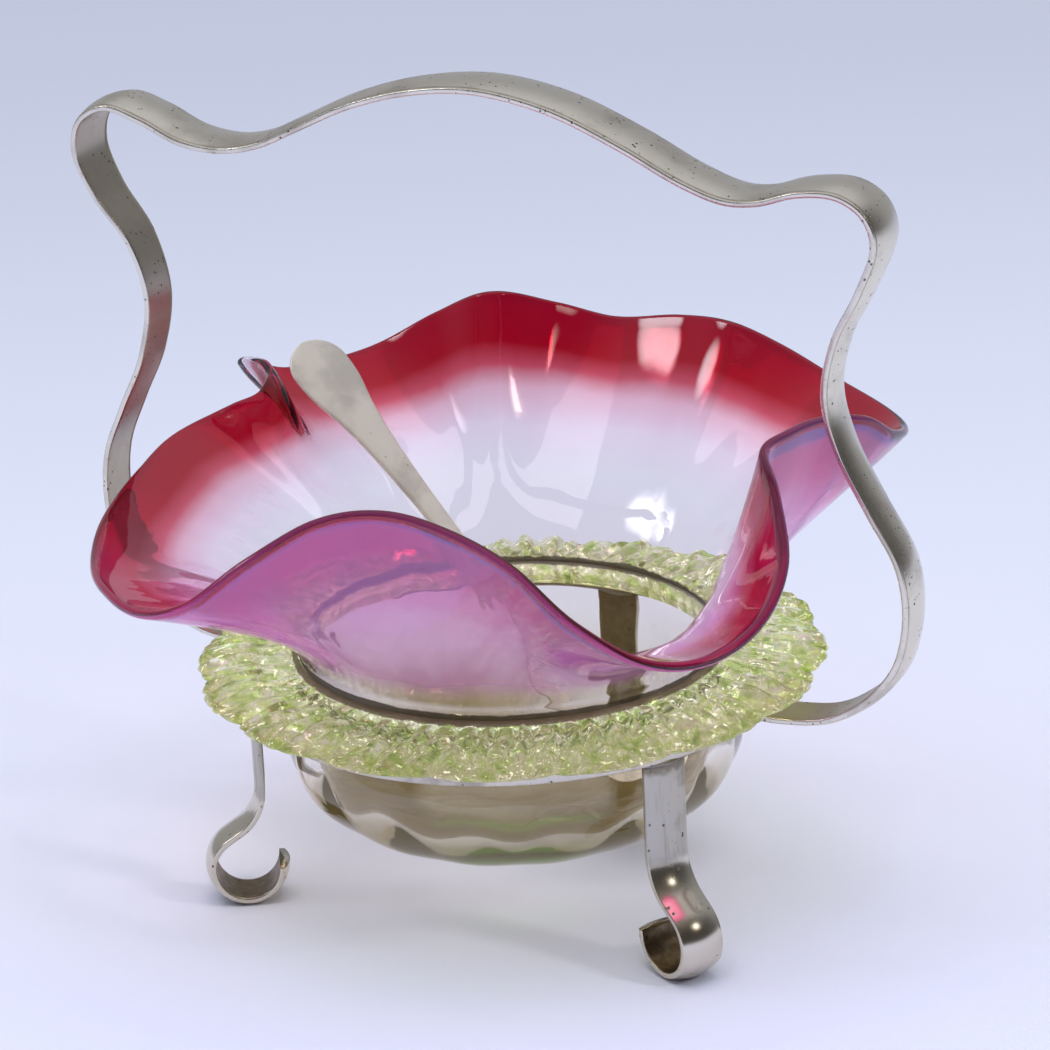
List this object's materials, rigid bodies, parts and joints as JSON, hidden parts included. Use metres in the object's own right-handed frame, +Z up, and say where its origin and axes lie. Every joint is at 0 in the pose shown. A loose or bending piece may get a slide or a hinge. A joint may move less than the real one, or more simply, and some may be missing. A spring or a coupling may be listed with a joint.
{
  "type": "preserve dish",
  "caption": "Ruffled glass preserve dish whose glass frill sits in the hoop of a plated three-legged stand with a wavy fixed handle, with a preserve spoon resting in it.",
  "frame": {"origin": "on the table under the centre of the stand's hoop", "axes": "+Z up, +X along the plane of the handle towards its right side, +Y towards the back leg"},
  "size_m": [0.2082, 0.1824, 0.1957],
  "materials": {
    "silver_plate": "worn silver plate, warm grey, with small dark pits and brown tarnish in the hollows",
    "solder": "dull plated solder",
    "spoon_silver": "matt worn silver plate",
    "cranberry_glass": "clear glass shading to cranberry at the rim, opalescent outside",
    "green_glass": "pale yellow-green clear glass, ribbed"
  },
  "bodies": {
    "stand": {"hoop": "silver_plate", "handle": "silver_plate", "leg_front_right": "silver_plate", "leg_back": "silver_plate", "leg_front_left": "silver_plate", "solder_leg_front_right": "solder", "solder_leg_back": "solder", "solder_leg_front_left": "solder", "solder_handle_right": "solder", "solder_handle_left": "solder"},
    "dish": {"glass_dish": "cranberry_glass", "glass_frill": "green_glass"},
    "spoon": {"spoon": "spoon_silver"}
  },
  "joints": [
    {"name": "dish_lift", "type": "slide", "parent": "stand", "child": "dish", "axis": [0, 0, 1], "range_m": [0, 0.013]},
    {"name": "spoon_lift", "type": "slide", "parent": "dish", "child": "spoon", "axis": [-0.5019, 0.0502, 0.8635], "range_m": [0, 0.12]}
  ]
}
